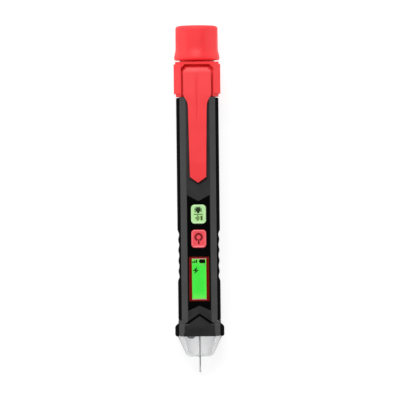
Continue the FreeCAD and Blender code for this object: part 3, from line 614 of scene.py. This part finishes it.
def flat_shape(name, outlines, bottom, top, material, body, bevel):
    """Thin printed or raised shapes from closed plan outlines."""
    bm = bmesh.new()
    for outline in outlines:
        skin(bm, [at_height(outline, bottom), at_height(outline, top)])
    finish_mesh(name, bm, material, body, bevel=bevel, segments=2)


def ring_outline(centre, outer, inner, gap_centre, gap_half, steps=28):
    """Plan outline of a ring with a gap, angles in degrees from +X."""
    start = gap_centre + gap_half
    sweep = 360 - 2 * gap_half
    angles = [math.radians(start + sweep * step / steps) for step in range(steps + 1)]

    def place(radius, angle):
        return centre[0] + radius * math.cos(angle), centre[1] + radius * math.sin(angle)

    far = [place(outer, angle) for angle in angles]
    near = [place(inner, angle) for angle in reversed(angles)]
    return far + near


def box_outline(centre, half_width, half_length, corner):
    """Plan outline of a small rounded bar."""
    return rounded_rectangle(centre, half_width, half_length, corner, 3)


def oval(centre, half_width, half_length, steps=20):
    """Plan outline of an oval."""
    return [(centre[0] + half_width * math.cos(2 * math.pi * k / steps),
             centre[1] + half_length * math.sin(2 * math.pi * k / steps)) for k in range(steps)]


def make_button(node, name, slot, highlight_ink):
    """A soft key cap: flange, upright side, rolled rim and a shallow dished face, with a painted highlight on the
    rim.
    """
    low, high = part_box(node)
    centre = ((low.x + high.x) / 2, (low.y + high.y) / 2)
    flange = 0.5 * MM
    flange_top = low.z + 0.45 * MM
    half_width = (high.x - low.x) / 2 - flange
    half_length = (high.y - low.y) / 2 - flange
    corner = 1.6 * MM
    least_corner = 0.25 * MM
    dish = 0.15
    # inset from the side and drop below the top, in mm
    rolled = [(0.0, 0.55), (0.10, 0.28), (0.22, 0.10), (0.36, 0.02), (0.50, 0.0), (0.64, 0.04),
              (0.80, 0.12), (1.05, dish), (2.0, dish)]
    profile = [(-flange, low.z), (-flange, flange_top), (0.0, flange_top)]
    profile += [(inset * MM, high.z - drop * MM) for inset, drop in rolled]
    rings = []
    for inset, height in profile:
        rounding = max(corner - inset, least_corner)
        outline = rounded_rectangle(centre, half_width - inset, half_length - inset, rounding, 8)
        rings.append(at_height(outline, height))
    bm = bmesh.new()
    skin(bm, rings)
    cap = finish_mesh(name, bm, slots[slot], node, (node,), sharp=60)
    # painted highlight: a paler ink on the top of the rolled rim
    cap.data.materials.append(inks[highlight_ink])
    highlight_level = high.z - 0.11 * MM
    # share of the half width or half length
    highlight_inner = 0.80
    highlight_outer = 0.95
    for polygon in cap.data.polygons:
        across = abs(polygon.center.x - centre[0]) / half_width
        along = abs(polygon.center.y - centre[1]) / half_length
        if polygon.center.z > highlight_level and highlight_inner < max(across, along) < highlight_outer:
            polygon.material_index = 1
    return centre, high.z - dish * MM


sign_rise = 0.05 * MM       # of a sign above its key's face, and its depth below it
sign_bevel = 0.03 * MM


def spot(centre, across, along):
    """A place on a key's face, in mm from the face's middle."""
    return centre[0] + across * MM, centre[1] + along * MM


def make_mode_key():
    """Green key with two generic signs: a shining lamp over a level line, and waves beside a bar."""
    centre, face = make_button("mode_button", "mode_key", "button_green", "button_highlight_green")
    low = face - sign_rise
    high = face + sign_rise
    corner = 0.1 * MM
    lamp = [oval(spot(centre, -0.15, 2.05), 1.15 * MM, 1.20 * MM),
            box_outline(spot(centre, -0.15, 0.72), 0.55 * MM, 0.26 * MM, corner)]
    for across, along in ((-1.50, 1.35), (-1.55, 2.35), (1.20, 1.35), (1.25, 2.35)):
        lamp.append(box_outline(spot(centre, across, along), 0.22 * MM, 0.36 * MM, corner))
    for across in (-0.95, 0.65):
        lamp.append(box_outline(spot(centre, across, 3.2), 0.32 * MM, 0.15 * MM, corner))
    lamp.append(box_outline(spot(centre, -0.05, -0.05), 2.0 * MM, 0.16 * MM, corner))
    flat_shape("mode_sign_lamp", lamp, low, high, inks["button_mark_green"], "mode_button", sign_bevel)

    source = spot(centre, -1.0, -1.75)
    half_stroke = 0.17
    waves = [oval(source, 0.42 * MM, 0.42 * MM, 12)]
    for radius in (0.75, 1.25):
        far = (radius + half_stroke) * MM
        near = (radius - half_stroke) * MM
        waves.append(ring_outline(source, far, near, 180, 105, 12))
    waves.append(box_outline(spot(centre, 1.35, -1.75), 0.48 * MM, 1.05 * MM, 0.12 * MM))
    flat_shape("mode_sign_lower", waves, low, high, inks["button_mark_olive"], "mode_button", sign_bevel)


def make_power_key():
    """Red key with the generic power sign: an open ring and a stroke."""
    centre, face = make_button("power_button", "power_key", "button_red", "button_highlight_red")
    power = [ring_outline(spot(centre, -0.05, 0.75), 1.95 * MM, 0.95 * MM, 270, 24),
             box_outline(spot(centre, -0.05, -1.30), 0.38 * MM, 1.15 * MM, 0.12 * MM)]
    low = face - sign_rise
    high = face + sign_rise
    flat_shape("power_sign", power, low, high, inks["button_mark_red"], "power_button", sign_bevel)


# ---------------------------------------------------------------- display

def make_glass():
    """The backlit glass under the window."""
    low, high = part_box("lcd_glass")
    centre = ((low.x + high.x) / 2, (low.y + high.y) / 2)
    bm = bmesh.new()
    outline = box_outline(centre, (high.x - low.x) / 2, (high.y - low.y) / 2, 0.2 * MM)
    skin(bm, [at_height(outline, low.z), at_height(outline, high.z)])
    finish_mesh("display_glass", bm, slots["lcd_green"], "casing", ("lcd_glass",), 0.05 * MM, 2)


def make_segments():
    """What the display shows: battery, level bars, divider and bolt; and painted highlights on the inner lips of
    its frame.
    """
    glass_low, glass_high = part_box("lcd_glass")
    frame_low, frame_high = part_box("lcd_bezel")
    x = (glass_low.x + glass_high.x) / 2
    bottom = glass_high.z - 0.02 * MM
    top = glass_high.z + 0.04 * MM
    view_border = 1.05 * MM
    end = frame_high.y - view_border

    def segment(name, outlines, ink):
        flat_shape(name, outlines, bottom, top, inks[ink], "casing", 0.01 * MM)

    battery_y = end - 0.98 * MM
    segment("display_battery", [
        box_outline((x + 1.52 * MM, battery_y), 1.28 * MM, 0.88 * MM, 0.15 * MM),
        box_outline((x + 0.12 * MM, battery_y), 0.18 * MM, 0.40 * MM, 0.05 * MM)], "lcd_segment")

    bars = []
    bars_foot = end - 1.75 * MM
    for index in range(3):
        bar_x = x - (2.72 - 0.78 * index) * MM
        half = (0.40 + 0.17 * index) * MM
        bars.append(box_outline((bar_x, bars_foot + half), 0.28 * MM, half, 0.04 * MM))
    segment("display_level", bars, "lcd_faint")

    # painted highlight: pale strips on the frame's inner lips at both ends
    lip_inset = 0.82 * MM
    lip_y = (frame_low.y + frame_high.y) / 2
    lip_reach = (frame_high.y - frame_low.y) / 2 - lip_inset
    lips = [box_outline((x, lip_y + side * lip_reach), 3.35 * MM, 0.23 * MM, 0.1 * MM) for side in (-1, 1)]
    lip_low = frame_high.z - 0.10 * MM
    lip_high = frame_high.z + 0.06 * MM
    flat_shape("display_painted_highlight", lips, lip_low, lip_high, inks["bezel_painted_highlight"], "casing", 0.03 * MM)

    divider = box_outline((x + 1.55 * MM, end - 2.65 * MM), 1.40 * MM, 0.16 * MM, 0.08 * MM)
    segment("display_divider", [divider], "lcd_pale")

    bolt_x = x - 1.45 * MM
    bolt_y = end - 5.1 * MM
    bolt_width = 2.0 * MM
    bolt_length = 1.5 * MM
    bolt = [(0.35, 1.05), (-0.75, -0.15), (-0.10, -0.15), (-0.40, -1.05), (0.75, 0.20), (0.10, 0.20)]
    sign = [(bolt_x + bolt_width * across, bolt_y + bolt_length * along) for across, along in bolt]
    segment("display_bolt", [sign], "lcd_faint")


# ---------------------------------------------------------------- nose

def make_lens():
    """Hollow clear cone with an even wall, a softened lip and a spigot into the collar."""
    low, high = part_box("nose_lens")
    radius = (high.x - low.x) / 2
    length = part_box("nose_collar")[0].y - low.y
    spigot_end = high.y - low.y
    tip_radius = radius - 4.0 * MM
    spigot_radius = radius - 1.4 * MM
    bore_radius = radius - 2.5 * MM
    wall = 1.1 * MM
    floor_thickness = 1.0 * MM
    nib_half = 1.15 * MM
    nib_hole = nib_half * 1.35      # round, so the nib's deeper edges pass through the floor beside it

    # distance from the small end and reach beyond the tip radius, in mm
    lip = [(0.0, -1.25), (0.12, -0.85), (0.40, -0.35), (0.9, 0.35)]
    outer = [(distance * MM, tip_radius + reach * MM) for distance, reach in lip]
    cone_start, cone_radius = outer[-1]
    cone_end = length - 0.3 * MM
    steps = 10
    for step in range(1, steps + 1):
        share = step / steps
        distance = cone_start + (cone_end - cone_start) * share
        outer.append((distance, cone_radius + (radius - cone_radius) * share))
    outer += [(length, radius), (length, spigot_radius), (spigot_end, spigot_radius)]

    inner = [(spigot_end, bore_radius)]
    for step in range(steps, -1, -1):
        share = step / steps
        distance = floor_thickness + (length - floor_thickness) * share
        inner.append((distance, tip_radius - wall + (bore_radius - tip_radius + wall) * share))
    inner += [(floor_thickness, nib_hole), (0.0, nib_hole)]

    rings = [turned_ring(low.y + distance, reach, nose_height, 96) for distance, reach in outer + inner]
    bm = bmesh.new()
    skin(bm, rings, loop=True)
    finish_mesh("lens_cone", bm, slots["lens_clear"], "casing", ("nose_lens",), sharp=40)


# ---------------------------------------------------------------- screws

def cross_reach(angle, arm, half_width):
    """Distance from the middle of a cross recess to its wall, by angle."""
    off_arm = abs((angle + math.pi / 4) % (math.pi / 2) - math.pi / 4)
    if math.tan(off_arm) <= half_width / arm:
        return arm / math.cos(off_arm)
    return half_width / math.sin(off_arm)


def make_screws():
    """Four pan-headed case screws with cross recesses, deep in the back."""
    low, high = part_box("housing_screws")
    head_radius = 1.5 * MM
    core = 0.72 * MM
    crest = 0.85 * MM
    pitch = 0.6 * MM
    thread_start = low.z + 1.4 * MM
    thread_end = high.z - 0.8 * MM
    taper_start = high.z - 0.5 * MM
    tip_radius = 0.35 * MM
    # reach and rise of the head's profile from its face, in mm
    head = [(0.95, 0.0), (1.25, 0.10), (1.45, 0.30), (1.5, 0.55), (1.5, 1.1), (0.85, 1.1), (0.72, 1.3)]
    count = 64
    angles = [2 * math.pi * step / count for step in range(count)]
    places = [(x, y) for x in (low.x + head_radius, high.x - head_radius)
              for y in (low.y + head_radius, high.y - head_radius)]
    for index, (x, y) in enumerate(places):

        def ring(reaches, height):
            return [Vector((x + reach * math.cos(angle), y + reach * math.sin(angle), height))
                    for reach, angle in zip(reaches, angles)]

        # the cross recess, narrower at its floor than at its mouth
        floor = [cross_reach(angle, 0.55 * MM, 0.12 * MM) for angle in angles]
        mouth = [cross_reach(angle, 0.78 * MM, 0.20 * MM) for angle in angles]
        rings = [ring(floor, low.z + 0.70 * MM), ring(mouth, low.z + 0.01 * MM)]
        rings += [ring([reach * MM] * count, low.z + rise * MM) for reach, rise in head]
        for turn in range(int((thread_end - thread_start) / pitch)):
            start = thread_start + turn * pitch
            rings += [ring([core] * count, start), ring([crest] * count, start + pitch / 2)]
        rings += [ring([core] * count, taper_start), ring([tip_radius] * count, high.z)]
        bm = bmesh.new()
        skin(bm, rings)
        # the first screw stands in for the CAD node of all four
        nodes = ("housing_screws",) if index == 0 else ()
        name = "case_screw_" + str(index + 1)
        finish_mesh(name, bm, slots["screw_steel"], "casing", nodes, sharp=40)


# ---------------------------------------------------------------- stage, light and camera

def make_floor():
    """A plain pale surface that glows, like a light table, just below the pen."""
    half = 1.5
    height = -0.2 * MM
    corners = ((-half, -half), (half, -half), (half, half), (-half, half))
    bm = bmesh.new()
    bm.faces.new([bm.verts.new((x, y, height)) for x, y in corners])
    mesh = bpy.data.meshes.new("floor")
    bm.to_mesh(mesh)
    bm.free()
    floor = bpy.data.objects.new("floor", mesh)
    bpy.context.scene.collection.objects.link(floor)
    material = plastic("pale_floor", (0.30, 0.30, 0.30), 0.9, mottle=0.005, specular=0.1)
    shader = material.node_tree.nodes["Principled BSDF"]
    shader.inputs["Emission Color"].default_value = (1, 1, 1, 1)
    shader.inputs["Emission Strength"].default_value = 0.80
    floor.data.materials.append(material)


def softbox(name, place, aim, width, height, power):
    """A rectangular area light pointed at aim, with its power in watts."""
    light = bpy.data.lights.new(name, "AREA")
    light.shape = "RECTANGLE"
    light.size = width
    light.size_y = height
    light.energy = power
    lamp = bpy.data.objects.new(name, light)
    lamp.location = place
    lamp.rotation_euler = (Vector(aim) - Vector(place)).to_track_quat("-Z", "Y").to_euler()
    bpy.context.scene.collection.objects.link(lamp)


def studio_sky(horizon, zenith):
    """A studio whose brightness changes evenly from the horizon to the zenith."""
    world = bpy.data.worlds.new("studio")
    world.use_nodes = True
    nodes = world.node_tree.nodes
    links = world.node_tree.links
    place = nodes.new("ShaderNodeTexCoord")
    parts = nodes.new("ShaderNodeSeparateXYZ")
    ramp = nodes.new("ShaderNodeMapRange")
    ramp.interpolation_type = "SMOOTHSTEP"
    ramp.inputs["From Min"].default_value = 0.1
    ramp.inputs["From Max"].default_value = 0.9
    ramp.inputs["To Min"].default_value = horizon
    ramp.inputs["To Max"].default_value = zenith
    links.new(place.outputs["Generated"], parts.inputs["Vector"])
    links.new(parts.outputs["Z"], ramp.inputs["Value"])
    links.new(ramp.outputs["Result"], nodes["Background"].inputs["Strength"])
    nodes["Background"].inputs["Color"].default_value = (1, 1, 1, 1)
    bpy.context.scene.world = world


def light_scene():
    """A high softbox beyond the tail, a weak one at each side and a sky that is dim overhead."""
    middle = (0, 0, axis_height)
    softbox("left_softbox", (-0.70, 0.10, 0.50), middle, 0.8, 0.30, 0.8)
    softbox("right_softbox", (0.70, 0.10, 0.50), middle, 0.8, 0.30, 0.2)
    softbox("tail_softbox", (-0.10, 0.60, 1.00), middle, 0.6, 0.3, 8.2)
    studio_sky(1.45, 0.08)
    bpy.context.scene.view_settings.view_transform = "Standard"


def make_camera():
    """Straight above, with the pen's tail leaning a little to the left in the picture."""
    distance = 3.0
    frame_height = 0.1813
    lean = math.radians(0.645)
    offset_x = 0.75 * MM
    offset_y = 0.8 * MM
    camera = bpy.data.cameras.new("camera")
    camera.sensor_width = 36.0
    camera.lens = camera.sensor_width * distance / frame_height
    camera.clip_start = 0.01
    viewer = bpy.data.objects.new("camera", camera)
    viewer.location = (offset_x, offset_y, axis_height + distance)
    viewer.rotation_euler = (0, 0, -lean)
    bpy.context.scene.collection.objects.link(viewer)
    bpy.context.scene.camera = viewer


dress_cad_nodes()
make_case()
make_grip("left_grip", "grip_left", -1)
make_grip("right_grip", "grip_right", 1)
make_knob()
make_clip()
make_clip_root()
make_mode_key()
make_power_key()
make_glass()
make_segments()
make_lens()
make_screws()
make_floor()
light_scene()
make_camera()
